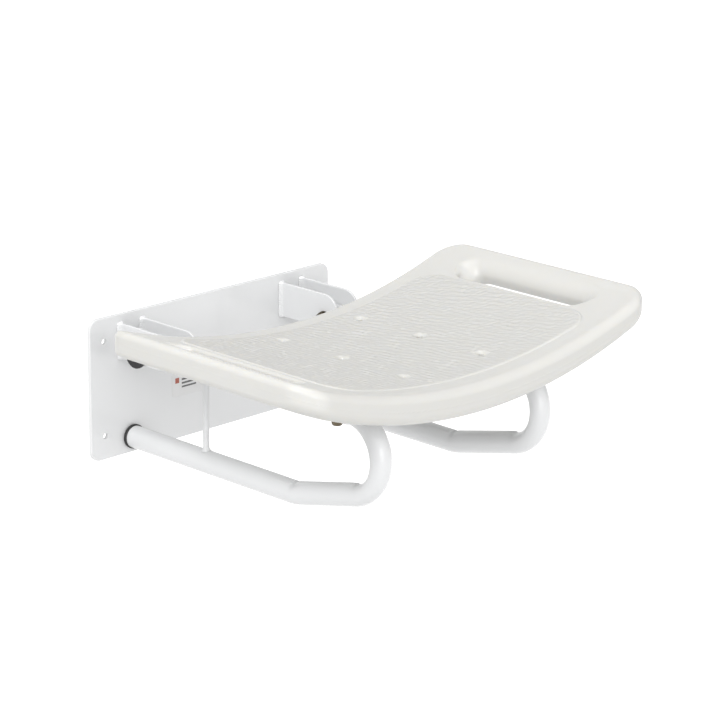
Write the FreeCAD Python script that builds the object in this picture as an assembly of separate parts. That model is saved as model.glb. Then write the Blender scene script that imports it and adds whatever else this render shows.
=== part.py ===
import FreeCAD, Part
import math
import os

from FreeCAD import Vector

# Wall-mounted folding shower seat, in millimetres.
# Frame: the origin is on the wall, at the centre of the plate's back face. X runs along the wall,
# Y points into the wall, so the seat stands out towards -Y, and Z is up.
# The seat is modelled folded down. It folds up about the pivot bolts, which lie along X.

os.makedirs("parts", exist_ok=True)

# ---------------------------------------------------------------- driving dimensions

PLATE_WIDTH = 360.0
PLATE_HEIGHT = 160.0
PLATE_THICK = 4.0
PLATE_CORNER_R = 12.0
PLATE_EDGE_R = 0.8
WALL_HOLE_DIA = 7.0
WALL_HOLE_SPAN_X = 320.0
WALL_HOLE_SPAN_Z = 107.0

ARM_X = 121.0                 # middle plane of each bracket and loop, from the centre of the plate
SHEET = 3.0
CHEEK_SPAN = 35.0             # over the outer faces of a bracket's two cheeks
CHEEK_HEIGHT = 40.0
CHEEK_TOP_Z = 70.5
CHEEK_REACH = 91.0            # from the plate's face to the tip of the nose
CHEEK_EDGE_R = 0.7
WELD_LEG = 4.5
WELD_HOLLOW_R = 4.4

PIVOT_Y = -75.0
PIVOT_Z = 43.0
PIVOT_BOLT_DIA = 8.0
PIVOT_HOLE_DIA = 8.4
PIVOT_HEAD_AF = 13.0
PIVOT_HEAD_H = 5.3
PIVOT_NUT_H = 8.0
PIVOT_NUT_HEX_H = 6.0
PIVOT_NUT_COLLAR_DIA = 11.0
PIVOT_BOLT_STICKOUT = 2.0
PIVOT_WASHER_DIA = 16.0
PIVOT_WASHER_H = 1.6
SLEEVE_DIA = 14.0
SLEEVE_BORE = 10.0
SLEEVE_PROUD = 1.0            # how far the sleeve stands out of the tube on each side
BUSH_BORE = 8.1
BUSH_LENGTH = 10.0
BUSH_FLANGE_DIA = 18.0
SIDE_PLAY = 0.1               # gap between each bush flange and its cheek

BUFFER_Y = -34.0
BUFFER_Z = 40.5
BUFFER_DIA = 28.0
BUFFER_H = 5.5
BUFFER_STEM_DIA = 6.0
BUFFER_STEM_PAST_SHEET = 0.8
BUFFER_EDGE_R = 2.2

TUBE_DIA = 25.0
TUBE_WALL = 1.5
LOWER_TUBE_Z = -62.0
UPPER_TUBE_BACK_Y = -24.0
U_BEND_R = 43.0
U_BEND_Y = -339.5
RISE_DEG = 13.2               # slope of the loop between the lower tube and the U bend
LOWER_BEND_R = 45.0

FOOT_DIA = 27.4
FOOT_H = 4.0
FOOT_STEM_H = 16.0
FOOT_GAP = 0.15               # between the foot and the plate
FOOT_EDGE_R = 1.2
PLUG_FLANGE_H = 2.0
PLUG_STEM_H = 12.0

ROD_DIA = 7.0
ROD_Y = -123.5
ROD_WELD_DIA = 12.0
ROD_WELD_H = 3.5
ROD_WELD_SINK = 1.0           # how far each weld starts inside the tube, before it is trimmed

SEAT_WIDTH = 523.0
SEAT_BACK_Y = -121.5
SEAT_FRONT_Y = -421.0
SEAT_FRONT_CORNER_R = 34.0
SEAT_BACK_CORNER_R = 31.0
SEAT_TOP_Z = 68.3             # top surface on the middle line
SEAT_TOP_CAMBER_R = 720.0
SEAT_BOTTOM_Z = 36.2
SEAT_BOTTOM_CAMBER_R = 670.0
SEAT_TOP_EDGE_R = 11.0
SEAT_BOTTOM_EDGE_R = 8.0
SEAT_WALL = 3.0
CAVITY_INSET = 9.0
PANEL_WIDTH = 386.0
PANEL_BACK_Y = -147.0
PANEL_FRONT_Y = -392.0
PANEL_CORNER_R = 30.0
PANEL_RAISE = 1.2
SLOT_INNER_X = 201.0
SLOT_WIDTH = 29.0
SLOT_BACK_Y = -175.0
SLOT_FRONT_Y = -366.0
SLOT_END_FLAT = 0.05          # keeps a short flat between the two roundings of a slot end
SLOT_TOP_EDGE_R = 5.0
SLOT_BOTTOM_EDGE_R = 8.0
DRAIN_X = 59.0
DRAIN_YS = (-176.0, -265.0, -354.0)
DRAIN_DIA = 6.0
DRAIN_SINK_DIA = 12.5
DRAIN_SINK_H = 4.5
GROOVE_PLAY = 0.05
GROOVE_END_Y = -374.0

SEAT_BOLT_YS = (-321.0, -171.0)
SEAT_BOLT_DIA = 6.0
SEAT_BOLT_HOLE_DIA = 6.4
SEAT_BOLT_END_Z = 66.0
SEAT_HEAD_AF = 10.0
SEAT_HEAD_H = 3.2
SEAT_WASHER_DIA = 12.0
SEAT_WASHER_H = 1.2
BUTTON_HEAD_DIA = 10.5
BUTTON_TOP_DIA = 6.3
BUTTON_HEAD_H = 2.7
INSERT_DIA = 9.0
INSERT_BLIND_GAP = 1.0        # from the end of the bolt to the end of the insert's hole
INSERT_TOP_Z = 69.0
INSERT_BOSS_DIA = 17.0

LABEL_WIDTH = 48.0
LABEL_HEIGHT = 26.0
LABEL_THICK = 0.3
LABEL_X = -39.0
LABEL_Z = -18.0

# ---------------------------------------------------------------- places worked out from them

PLATE_FACE_Y = -PLATE_THICK
TUBE_R = TUBE_DIA / 2.0
TUBE_BORE_R = TUBE_R - TUBE_WALL
SIDES = (("left", -1.0), ("right", 1.0))
CHEEK_OUTER = CHEEK_SPAN / 2.0
CHEEK_INNER = CHEEK_OUTER - SHEET
CHEEK_BOTTOM_Z = CHEEK_TOP_Z - CHEEK_HEIGHT
LOWER_TUBE_END_Y = PLATE_FACE_Y - FOOT_GAP - FOOT_H
LONG = 1000.0                 # longer than anything in the model, for cutting
PRISM_TOP_Z = 200.0           # above the highest point of the board
SLAB_OVERHANG = 40.0
NEAR = 0.01                   # how close two places are when they count as the same
ALONG = 0.99                  # how much of an edge's direction lies along an axis when it counts as parallel

X_AXIS = Vector(1, 0, 0)
Y_AXIS = Vector(0, 1, 0)
Z_AXIS = Vector(0, 0, 1)


# ---------------------------------------------------------------- shape helpers

def is_along(edge, axis):
    """Whether an edge starts out parallel to the axis named x, y or z."""
    return abs(getattr(edge.tangentAt(edge.FirstParameter), axis)) > ALONG


def softened(shape, radius, keep_edge):
    """The shape with the edges that keep_edge accepts rounded off."""
    edges = [e for e in shape.Edges if keep_edge(e)]
    return shape.makeFillet(radius, edges)


def rod_between(start, end, dia):
    """A round bar between two points."""
    along = end - start
    return Part.makeCylinder(dia / 2.0, along.Length, start, along)


def rounded_plan(x0, x1, y0, y1, front_corner_r, back_corner_r):
    """A prism from Z = 0 up, on a rectangle with rounded corners."""
    block = Part.makeBox(x1 - x0, y1 - y0, PRISM_TOP_Z, Vector(x0, y0, 0.0))
    block = softened(block, front_corner_r, lambda e: is_along(e, "z") and abs(e.CenterOfMass.y - y0) < NEAR)
    return softened(block, back_corner_r, lambda e: is_along(e, "z") and abs(e.CenterOfMass.y - y1) < NEAR)


def hex_prism(centre, axis, across_flats, height):
    """A hexagonal bar from centre, along axis."""
    corner_r = across_flats / math.sqrt(3.0)
    across = axis.cross(Z_AXIS) if abs(axis.z) < ALONG else Vector(X_AXIS)
    across.normalize()
    other = axis.cross(across)
    corners = []
    for step in range(7):
        angle = math.radians(60.0 * step)
        corners.append(centre + across * (corner_r * math.cos(angle)) + other * (corner_r * math.sin(angle)))
    return Part.Face(Part.makePolygon(corners)).extrude(axis * height)


def annulus(start, end, outer_dia, inner_dia):
    """A round tube between two points."""
    return rod_between(start, end, outer_dia).cut(rod_between(start, end, inner_dia))


def face_at(shape, point):
    """The face that passes through a point."""
    vertex = Part.Vertex(point)
    return min(shape.Faces, key=lambda f: f.distToShape(vertex)[0])


def group(shapes):
    """Separate solids held in one node."""
    return Part.makeCompound(shapes)


def save(node, shape):
    """Write one node's STEP file, after checking its solids."""
    for solid in shape.Solids:
        if not solid.isValid() or solid.Volume <= 0.0:
            raise ValueError(node + " has a bad solid")
    shape.exportStep("parts/" + node + ".step")


# ---------------------------------------------------------------- wall plate and brackets

def wall_hole_centres():
    """Centres of the four wall screw holes, as X and Z."""
    return [(sx * WALL_HOLE_SPAN_X / 2.0, sz * WALL_HOLE_SPAN_Z / 2.0) for sx in (-1, 1) for sz in (-1, 1)]


def make_wall_plate():
    plate = Part.makeBox(PLATE_WIDTH, PLATE_THICK, PLATE_HEIGHT,
                         Vector(-PLATE_WIDTH / 2.0, PLATE_FACE_Y, -PLATE_HEIGHT / 2.0))
    plate = softened(plate, PLATE_CORNER_R, lambda e: is_along(e, "y"))
    plate = softened(plate, PLATE_EDGE_R, lambda e: abs(e.CenterOfMass.y - PLATE_FACE_Y) < NEAR)
    for x, z in wall_hole_centres():
        plate = plate.cut(rod_between(Vector(x, -LONG / 2.0, z), Vector(x, LONG / 2.0, z), WALL_HOLE_DIA))
    return plate


def weld_bead(face_x, outward):
    """The fillet weld between the plate and one face of a cheek, with a hollow face."""
    x0 = min(face_x, face_x + outward * WELD_LEG)
    block = Part.makeBox(WELD_LEG, WELD_LEG, CHEEK_HEIGHT, Vector(x0, PLATE_FACE_Y - WELD_LEG, CHEEK_BOTTOM_Z))
    hollow = Part.makeCylinder(WELD_HOLLOW_R, CHEEK_HEIGHT,
                               Vector(face_x + outward * WELD_LEG, PLATE_FACE_Y - WELD_LEG, CHEEK_BOTTOM_Z))
    return block.cut(hollow)


def make_cheek(x0):
    """One upright cheek of a bracket, from X = x0: a sheet with a rounded nose, welded to the plate on both faces."""
    nose_r = CHEEK_HEIGHT / 2.0
    nose_y = PLATE_FACE_Y - CHEEK_REACH + nose_r
    nose_z = CHEEK_BOTTOM_Z + nose_r
    x1 = x0 + SHEET
    cheek = Part.makeBox(SHEET, PLATE_FACE_Y - nose_y, CHEEK_HEIGHT, Vector(x0, nose_y, CHEEK_BOTTOM_Z))
    nose = rod_between(Vector(x0, nose_y, nose_z), Vector(x1, nose_y, nose_z), CHEEK_HEIGHT)
    cheek = cheek.fuse(nose).removeSplitter()

    def is_rim(edge):
        return edge.CenterOfMass.y < PLATE_FACE_Y - NEAR and not is_along(edge, "x")
    cheek = softened(cheek, CHEEK_EDGE_R, is_rim)
    cheek = cheek.fuse(weld_bead(x0, -1.0)).fuse(weld_bead(x1, 1.0))
    hole = rod_between(Vector(x0 - SHEET, PIVOT_Y, PIVOT_Z), Vector(x1 + SHEET, PIVOT_Y, PIVOT_Z), PIVOT_HOLE_DIA)
    return cheek.cut(hole).removeSplitter()


def make_outer_cheek(sign):
    """The cheek on the outer side of the tube, which also holds the buffer."""
    x = sign * (ARM_X + (CHEEK_INNER + CHEEK_OUTER) / 2.0)
    stem_hole = rod_between(Vector(x - SHEET, BUFFER_Y, BUFFER_Z), Vector(x + SHEET, BUFFER_Y, BUFFER_Z),
                            BUFFER_STEM_DIA)
    return make_cheek(x - SHEET / 2.0).cut(stem_hole)


def make_inner_cheek(sign):
    x = sign * (ARM_X - (CHEEK_INNER + CHEEK_OUTER) / 2.0)
    return make_cheek(x - SHEET / 2.0)


def make_buffer(sign):
    """A round rubber buffer pressed into the outer cheek by its stem."""
    face_x = sign * (ARM_X + CHEEK_OUTER)
    outward = X_AXIS * sign
    base = Vector(face_x, BUFFER_Y, BUFFER_Z)
    head = rod_between(base, base + outward * BUFFER_H, BUFFER_DIA)
    outer_face_x = face_x + sign * BUFFER_H
    head = softened(head, BUFFER_EDGE_R, lambda e: abs(e.CenterOfMass.x - outer_face_x) < NEAR)
    stem = rod_between(base - outward * (SHEET + BUFFER_STEM_PAST_SHEET), base, BUFFER_STEM_DIA)
    return head.fuse(stem).removeSplitter()


# ---------------------------------------------------------------- pivot hardware

def make_pivot_bolt(sign):
    """A hexagon-head bolt through both cheeks, with its head on the outer side."""
    outward = X_AXIS * sign
    head_x = sign * (ARM_X + CHEEK_OUTER + PIVOT_WASHER_H)
    end_x = sign * (ARM_X - CHEEK_OUTER - PIVOT_WASHER_H - PIVOT_NUT_H - PIVOT_BOLT_STICKOUT)
    under_head = Vector(head_x, PIVOT_Y, PIVOT_Z)
    shank = rod_between(Vector(end_x, PIVOT_Y, PIVOT_Z), under_head, PIVOT_BOLT_DIA)
    return shank.fuse(hex_prism(under_head, outward, PIVOT_HEAD_AF, PIVOT_HEAD_H)).removeSplitter()


def make_pivot_nut(sign):
    """The lock nut on the inner side: a hexagon with a round collar."""
    inward = X_AXIS * -sign
    seat = Vector(sign * (ARM_X - CHEEK_OUTER - PIVOT_WASHER_H), PIVOT_Y, PIVOT_Z)
    nut = hex_prism(seat, inward, PIVOT_HEAD_AF, PIVOT_NUT_HEX_H)
    collar = rod_between(seat + inward * PIVOT_NUT_HEX_H, seat + inward * PIVOT_NUT_H, PIVOT_NUT_COLLAR_DIA)
    nut = nut.fuse(collar)
    return nut.cut(rod_between(seat - inward, seat + inward * LONG, PIVOT_BOLT_DIA))


def make_pivot_washers(sign):
    """One washer under the head and one under the nut."""
    washers = []
    for outward, face in ((sign, ARM_X + CHEEK_OUTER), (-sign, ARM_X - CHEEK_OUTER)):
        start = Vector(sign * face, PIVOT_Y, PIVOT_Z)
        washers.append(annulus(start, start + X_AXIS * (outward * PIVOT_WASHER_H),
                               PIVOT_WASHER_DIA, PIVOT_BOLT_DIA))
    return washers


def make_pivot_sleeve(sign):
    """The steel sleeve welded across the upper tube."""
    half = TUBE_R + SLEEVE_PROUD
    start = Vector(sign * ARM_X - half, PIVOT_Y, PIVOT_Z)
    return annulus(start, start + X_AXIS * (2.0 * half), SLEEVE_DIA, SLEEVE_BORE)


def make_pivot_bushes(sign):
    """Two flanged bushes, one pushed into each end of the sleeve."""
    bushes = []
    for side in (-1.0, 1.0):
        sleeve_end = Vector(sign * ARM_X + side * (TUBE_R + SLEEVE_PROUD), PIVOT_Y, PIVOT_Z)
        outward = X_AXIS * side
        flange_h = CHEEK_INNER - SIDE_PLAY - TUBE_R - SLEEVE_PROUD
        bush = rod_between(sleeve_end - outward * BUSH_LENGTH, sleeve_end, SLEEVE_BORE)
        bush = bush.fuse(rod_between(sleeve_end, sleeve_end + outward * flange_h, BUSH_FLANGE_DIA))
        bore = rod_between(sleeve_end - outward * LONG, sleeve_end + outward * LONG, BUSH_BORE)
        bushes.append(bush.cut(bore).removeSplitter())
    return bushes


# ---------------------------------------------------------------- tube loops

def loop_path(x):
    """The loop's centre line: lower tube, slight rise, U bend, upper tube."""
    rise = math.radians(RISE_DEG)
    top_z = PIVOT_Z
    centre_z = top_z - U_BEND_R
    centre = Vector(x, U_BEND_Y, centre_z)
    u_start = Vector(x, U_BEND_Y - U_BEND_R * math.sin(rise), centre_z - U_BEND_R * math.cos(rise))
    half_turn = (math.pi - rise) / 2.0
    middle_angle = -math.pi / 2.0 - rise - half_turn
    u_middle = centre + Vector(0, U_BEND_R * math.cos(middle_angle), U_BEND_R * math.sin(middle_angle))
    u_end = Vector(x, U_BEND_Y, top_z)
    corner_y = u_start.y + (u_start.z - LOWER_TUBE_Z) / math.tan(rise)
    tangent = LOWER_BEND_R * math.tan(rise / 2.0)
    bend_start = Vector(x, corner_y + tangent, LOWER_TUBE_Z)
    bend_end = Vector(x, corner_y - tangent * math.cos(rise), LOWER_TUBE_Z + tangent * math.sin(rise))
    bend_centre = Vector(x, bend_start.y, LOWER_TUBE_Z + LOWER_BEND_R)
    bend_middle = bend_centre - Vector(0, LOWER_BEND_R * math.sin(rise / 2.0), LOWER_BEND_R * math.cos(rise / 2.0))
    edges = [
        Part.makeLine(Vector(x, LOWER_TUBE_END_Y, LOWER_TUBE_Z), bend_start),
        Part.Arc(bend_start, bend_middle, bend_end).toShape(),
        Part.makeLine(bend_end, u_start),
        Part.Arc(u_start, u_middle, u_end).toShape(),
        Part.makeLine(u_end, Vector(x, UPPER_TUBE_BACK_Y, top_z)),
    ]
    return Part.Wire(edges)


def swept_bar(x, radius):
    """A solid bar along the loop's centre line."""
    circle = Part.makeCircle(radius, Vector(x, LOWER_TUBE_END_Y, LOWER_TUBE_Z), Y_AXIS)
    return loop_path(x).makePipeShell([Part.Wire([circle])], True, False)


def make_tube_loop(sign):
    x = sign * ARM_X
    tube = swept_bar(x, TUBE_R).cut(swept_bar(x, TUBE_BORE_R))
    tube = tube.cut(rod_between(Vector(x - LONG, PIVOT_Y, PIVOT_Z), Vector(x + LONG, PIVOT_Y, PIVOT_Z), SLEEVE_DIA))
    for y in SEAT_BOLT_YS:
        tube = tube.cut(rod_between(Vector(x, y, 0.0), Vector(x, y, LONG), SEAT_BOLT_HOLE_DIA))
    return tube


def make_brace_rod(sign):
    """The upright rod between the two tubes, with a weld bead at each end."""
    x = sign * ARM_X
    rod = rod_between(Vector(x, ROD_Y, LOWER_TUBE_Z), Vector(x, ROD_Y, PIVOT_Z), ROD_DIA)
    for tube_z, up in ((LOWER_TUBE_Z, 1.0), (PIVOT_Z, -1.0)):
        wide = Vector(x, ROD_Y, tube_z + up * (TUBE_R - ROD_WELD_SINK))
        rod = rod.fuse(Part.makeCone(ROD_WELD_DIA / 2.0, ROD_DIA / 2.0, ROD_WELD_H + ROD_WELD_SINK,
                                     wide, Z_AXIS * up))
        tube_bar = rod_between(Vector(x, ROD_Y - ROD_WELD_DIA, tube_z), Vector(x, ROD_Y + ROD_WELD_DIA, tube_z),
                               TUBE_DIA)
        rod = rod.cut(tube_bar)
    return rod.removeSplitter()


def make_wall_foot(sign):
    """The rubber foot in the wall end of the lower tube."""
    start = Vector(sign * ARM_X, LOWER_TUBE_END_Y, LOWER_TUBE_Z)
    pad_face_y = LOWER_TUBE_END_Y + FOOT_H
    pad = rod_between(start, start + Y_AXIS * FOOT_H, FOOT_DIA)
    pad = softened(pad, FOOT_EDGE_R, lambda e: abs(e.CenterOfMass.y - pad_face_y) < NEAR)
    stem = rod_between(start - Y_AXIS * FOOT_STEM_H, start, 2.0 * TUBE_BORE_R)
    return pad.fuse(stem).removeSplitter()


def make_end_plug(sign):
    """The plug in the open end of the upper tube, inside the bracket."""
    start = Vector(sign * ARM_X, UPPER_TUBE_BACK_Y, PIVOT_Z)
    flange = rod_between(start, start + Y_AXIS * PLUG_FLANGE_H, TUBE_DIA)
    stem = rod_between(start - Y_AXIS * PLUG_STEM_H, start, 2.0 * TUBE_BORE_R)
    return flange.fuse(stem).removeSplitter()


# ---------------------------------------------------------------- seat board

def slab(half_width, y_front, y_back, top_z, top_r, bottom_z, bottom_r):
    """A cambered slab: two arcs across the width, extruded from front to back.

    It reaches SLAB_OVERHANG past the stated edges, so that a plan shape can trim it cleanly."""
    half_width = half_width + SLAB_OVERHANG
    y_front = y_front - SLAB_OVERHANG
    y_back = y_back + SLAB_OVERHANG

    def arc(z_mid, radius):
        z_edge = z_mid + radius - math.sqrt(radius * radius - half_width * half_width)
        ends = (Vector(-half_width, y_front, z_edge), Vector(half_width, y_front, z_edge))
        return Part.Arc(ends[0], Vector(0, y_front, z_mid), ends[1]).toShape(), ends
    top, top_ends = arc(top_z, top_r)
    bottom, bottom_ends = arc(bottom_z, bottom_r)
    outline = Part.Wire(Part.sortEdges([
        top, Part.makeLine(top_ends[1], bottom_ends[1]), bottom, Part.makeLine(bottom_ends[0], top_ends[0]),
    ])[0])
    return Part.Face(outline).extrude(Y_AXIS * (y_back - y_front))


def slot_prism(sign, grow):
    """The grip slot's plan shape, grown on all sides, as a tall prism."""
    x_inner = sign * (SLOT_INNER_X - grow)
    x_outer = sign * (SLOT_INNER_X + SLOT_WIDTH + grow)
    end_r = SLOT_WIDTH / 2.0 + grow - SLOT_END_FLAT
    return rounded_plan(min(x_inner, x_outer), max(x_inner, x_outer),
                        SLOT_FRONT_Y - grow, SLOT_BACK_Y + grow, end_r, end_r)


def drain_centres():
    return [(sx * DRAIN_X, y) for sx in (-1.0, 1.0) for y in DRAIN_YS]


def seat_bolt_centres():
    return [(sx * ARM_X, y) for sx in (-1.0, 1.0) for y in SEAT_BOLT_YS]


def camber_z(x, z_mid, radius):
    """Height of a cambered surface at x."""
    return z_mid + radius - math.sqrt(radius * radius - x * x)


def groove_tool(sign, play):
    """What the loop needs below the seat: a round groove, closed in front of the U bend."""
    x = sign * ARM_X
    radius = TUBE_R + play
    groove = rod_between(Vector(x, U_BEND_Y, PIVOT_Z), Vector(x, 0.0, PIVOT_Z), 2.0 * radius)
    front = rod_between(Vector(x, GROOVE_END_Y + radius, PIVOT_Z), Vector(x, U_BEND_Y, PIVOT_Z), 2.0 * radius)
    nose = Part.makeSphere(radius, Vector(x, GROOVE_END_Y + radius, PIVOT_Z))
    below = Part.makeBox(2.0 * radius, -GROOVE_END_Y - radius, PIVOT_Z, Vector(x - radius, GROOVE_END_Y + radius, 0.0))
    nose_below = Part.makeCylinder(radius, PIVOT_Z, Vector(x, GROOVE_END_Y + radius, 0.0))
    return groove.multiFuse([front, nose, below, nose_below])


def make_cavity():
    """The hollow inside the blow-moulded board, closed off around every hole and fastening."""
    hollow = slab(SEAT_WIDTH / 2.0 - CAVITY_INSET, SEAT_FRONT_Y + CAVITY_INSET, SEAT_BACK_Y - CAVITY_INSET,
                  SEAT_TOP_Z - SEAT_WALL, SEAT_TOP_CAMBER_R + SEAT_WALL,
                  SEAT_BOTTOM_Z + SEAT_WALL, SEAT_BOTTOM_CAMBER_R - SEAT_WALL)
    inset = SEAT_WIDTH / 2.0 - CAVITY_INSET
    plan = rounded_plan(-inset, inset, SEAT_FRONT_Y + CAVITY_INSET, SEAT_BACK_Y - CAVITY_INSET,
                        SEAT_FRONT_CORNER_R - CAVITY_INSET, SEAT_BACK_CORNER_R - CAVITY_INSET)
    hollow = plan.common(hollow)
    solid_zones = []
    for sign in (-1.0, 1.0):
        solid_zones.append(slot_prism(sign, SLOT_BOTTOM_EDGE_R + SEAT_WALL))
        solid_zones.append(groove_tool(sign, SEAT_WALL))
        grip_x = sign * (SLOT_INNER_X + SLOT_WIDTH + SLOT_BOTTOM_EDGE_R)
        outer_x = sign * SEAT_WIDTH
        solid_zones.append(Part.makeBox(abs(outer_x - grip_x), LONG, PRISM_TOP_Z,
                                        Vector(min(grip_x, outer_x), -LONG, 0.0)))
    for x, y in drain_centres():
        solid_zones.append(Part.makeCylinder(DRAIN_SINK_DIA / 2.0 + SEAT_WALL, PRISM_TOP_Z, Vector(x, y, 0.0)))
    for x, y in seat_bolt_centres():
        solid_zones.append(Part.makeCylinder(INSERT_BOSS_DIA / 2.0, PRISM_TOP_Z, Vector(x, y, 0.0)))
    for zone in solid_zones:
        hollow = hollow.cut(zone)
    return hollow


def slot_rims(board):
    """The edges round the mouths of the two slots: those on the top, then those underneath."""
    top, bottom = [], []
    for edge in board.Edges:
        x, y, z = edge.CenterOfMass
        beside = SLOT_INNER_X - NEAR < abs(x) < SLOT_INNER_X + SLOT_WIDTH + NEAR
        if not beside or not SLOT_FRONT_Y - NEAR < y < SLOT_BACK_Y + NEAR or is_along(edge, "z"):
            continue
        half_z = (camber_z(x, SEAT_TOP_Z, SEAT_TOP_CAMBER_R) + camber_z(x, SEAT_BOTTOM_Z, SEAT_BOTTOM_CAMBER_R)) / 2.0
        (top if z > half_z else bottom).append(edge)
    return top, bottom


def with_slots(board):
    """The board with a rounded grip slot cut at each side."""
    for sign in (-1.0, 1.0):
        board = board.cut(slot_prism(sign, 0.0))
    board = board.makeFillet(SLOT_TOP_EDGE_R, slot_rims(board)[0])
    return board.makeFillet(SLOT_BOTTOM_EDGE_R, slot_rims(board)[1])


def make_panel():
    """The raised panel, as thick above the board's top surface as below it."""
    half = PANEL_WIDTH / 2.0
    layer = slab(half, PANEL_FRONT_Y, PANEL_BACK_Y, SEAT_TOP_Z + PANEL_RAISE, SEAT_TOP_CAMBER_R - PANEL_RAISE,
                 SEAT_TOP_Z - PANEL_RAISE, SEAT_TOP_CAMBER_R + PANEL_RAISE)
    return layer.common(rounded_plan(-half, half, PANEL_FRONT_Y, PANEL_BACK_Y, PANEL_CORNER_R, PANEL_CORNER_R))


def drain_tool(x, y):
    """A drain hole with a wider, shallow sink at its top."""
    sink_floor_z = camber_z(x, SEAT_TOP_Z, SEAT_TOP_CAMBER_R) + PANEL_RAISE - DRAIN_SINK_H
    hole = Part.makeCylinder(DRAIN_DIA / 2.0, PRISM_TOP_Z, Vector(x, y, 0.0))
    return hole.fuse(Part.makeCylinder(DRAIN_SINK_DIA / 2.0, PRISM_TOP_Z, Vector(x, y, sink_floor_z)))


def make_seat_board():
    half = SEAT_WIDTH / 2.0
    board = slab(half, SEAT_FRONT_Y, SEAT_BACK_Y, SEAT_TOP_Z, SEAT_TOP_CAMBER_R, SEAT_BOTTOM_Z, SEAT_BOTTOM_CAMBER_R)
    plan = rounded_plan(-half, half, SEAT_FRONT_Y, SEAT_BACK_Y, SEAT_FRONT_CORNER_R, SEAT_BACK_CORNER_R)
    board = plan.common(board).removeSplitter()

    middle_y = (SEAT_FRONT_Y + SEAT_BACK_Y) / 2.0
    board = board.makeFillet(SEAT_TOP_EDGE_R, face_at(board, Vector(0, middle_y, SEAT_TOP_Z)).Edges)
    board = board.makeFillet(SEAT_BOTTOM_EDGE_R, face_at(board, Vector(0, middle_y, SEAT_BOTTOM_Z)).Edges)
    board = with_slots(board).fuse(make_panel())
    for x, y in drain_centres():
        board = board.cut(drain_tool(x, y))
    for sign in (-1.0, 1.0):
        board = board.cut(groove_tool(sign, GROOVE_PLAY))
    for x, y in seat_bolt_centres():
        board = board.cut(Part.makeCylinder(INSERT_DIA / 2.0, INSERT_TOP_Z, Vector(x, y, 0.0)))
    return board.cut(make_cavity())


# ---------------------------------------------------------------- seat fastenings

def make_insert(x, y):
    """A blind threaded insert moulded into the board, just above the tube."""
    bottom_z = PIVOT_Z + TUBE_R + GROOVE_PLAY
    body = Part.makeCylinder(INSERT_DIA / 2.0, INSERT_TOP_Z - bottom_z, Vector(x, y, bottom_z))
    hole_h = SEAT_BOLT_END_Z + INSERT_BLIND_GAP - bottom_z
    body = body.cut(Part.makeCylinder(SEAT_BOLT_DIA / 2.0, hole_h, Vector(x, y, bottom_z)))
    tube_bar = rod_between(Vector(x, y - LONG, PIVOT_Z), Vector(x, y + LONG, PIVOT_Z), TUBE_DIA + 2.0 * GROOVE_PLAY)
    return body.cut(tube_bar)


def make_front_bolt(x, y):
    """A hexagon-head bolt, up through the tube and a washer into the insert."""
    under_head = PIVOT_Z - TUBE_R - SEAT_WASHER_H
    shank = Part.makeCylinder(SEAT_BOLT_DIA / 2.0, SEAT_BOLT_END_Z - under_head, Vector(x, y, under_head))
    head = hex_prism(Vector(x, y, under_head - SEAT_HEAD_H), Vector(Z_AXIS), SEAT_HEAD_AF, SEAT_HEAD_H)
    return shank.fuse(head).removeSplitter()


def make_front_washer(x, y):
    bottom = Vector(x, y, PIVOT_Z - TUBE_R - SEAT_WASHER_H)
    return annulus(bottom, bottom + Z_AXIS * SEAT_WASHER_H, SEAT_WASHER_DIA, SEAT_BOLT_DIA)


def make_rear_bolt(x, y):
    """A button-head bolt, up through the tube into the insert."""
    under_head = PIVOT_Z - TUBE_R
    shank = Part.makeCylinder(SEAT_BOLT_DIA / 2.0, SEAT_BOLT_END_Z - under_head, Vector(x, y, under_head))
    head = Part.makeCone(BUTTON_TOP_DIA / 2.0, BUTTON_HEAD_DIA / 2.0, BUTTON_HEAD_H,
                         Vector(x, y, under_head - BUTTON_HEAD_H))
    return shank.fuse(head).removeSplitter()


def make_label():
    """A blank information label on the plate's face."""
    return Part.makeBox(LABEL_WIDTH, LABEL_THICK, LABEL_HEIGHT,
                        Vector(LABEL_X - LABEL_WIDTH / 2.0, PLATE_FACE_Y - LABEL_THICK, LABEL_Z - LABEL_HEIGHT / 2.0))


# ---------------------------------------------------------------- every node

def save_all():
    save("wall_plate", make_wall_plate())
    save("information_label", make_label())
    for side, sign in SIDES:
        save(side + "_outer_cheek", make_outer_cheek(sign))
        save(side + "_inner_cheek", make_inner_cheek(sign))
        save(side + "_buffer", make_buffer(sign))
        save(side + "_pivot_bolt", make_pivot_bolt(sign))
        save(side + "_pivot_nut", make_pivot_nut(sign))
        save(side + "_pivot_washers", group(make_pivot_washers(sign)))
        save(side + "_pivot_sleeve", make_pivot_sleeve(sign))
        save(side + "_pivot_bushes", group(make_pivot_bushes(sign)))
        save(side + "_tube_loop", make_tube_loop(sign))
        save(side + "_brace_rod", make_brace_rod(sign))
        save(side + "_wall_foot", make_wall_foot(sign))
        save(side + "_tube_plug", make_end_plug(sign))
    front = [(x, y) for x, y in seat_bolt_centres() if y == min(SEAT_BOLT_YS)]
    rear = [(x, y) for x, y in seat_bolt_centres() if y == max(SEAT_BOLT_YS)]
    save("seat_board", make_seat_board())
    save("seat_inserts", group([make_insert(x, y) for x, y in front + rear]))
    save("seat_front_bolts", group([make_front_bolt(x, y) for x, y in front]))
    save("seat_front_washers", group([make_front_washer(x, y) for x, y in front]))
    save("seat_rear_bolts", group([make_rear_bolt(x, y) for x, y in rear]))


save_all()
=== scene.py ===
import math

import bmesh
import bpy
import numpy as np
from mathutils import Matrix, Vector


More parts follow.
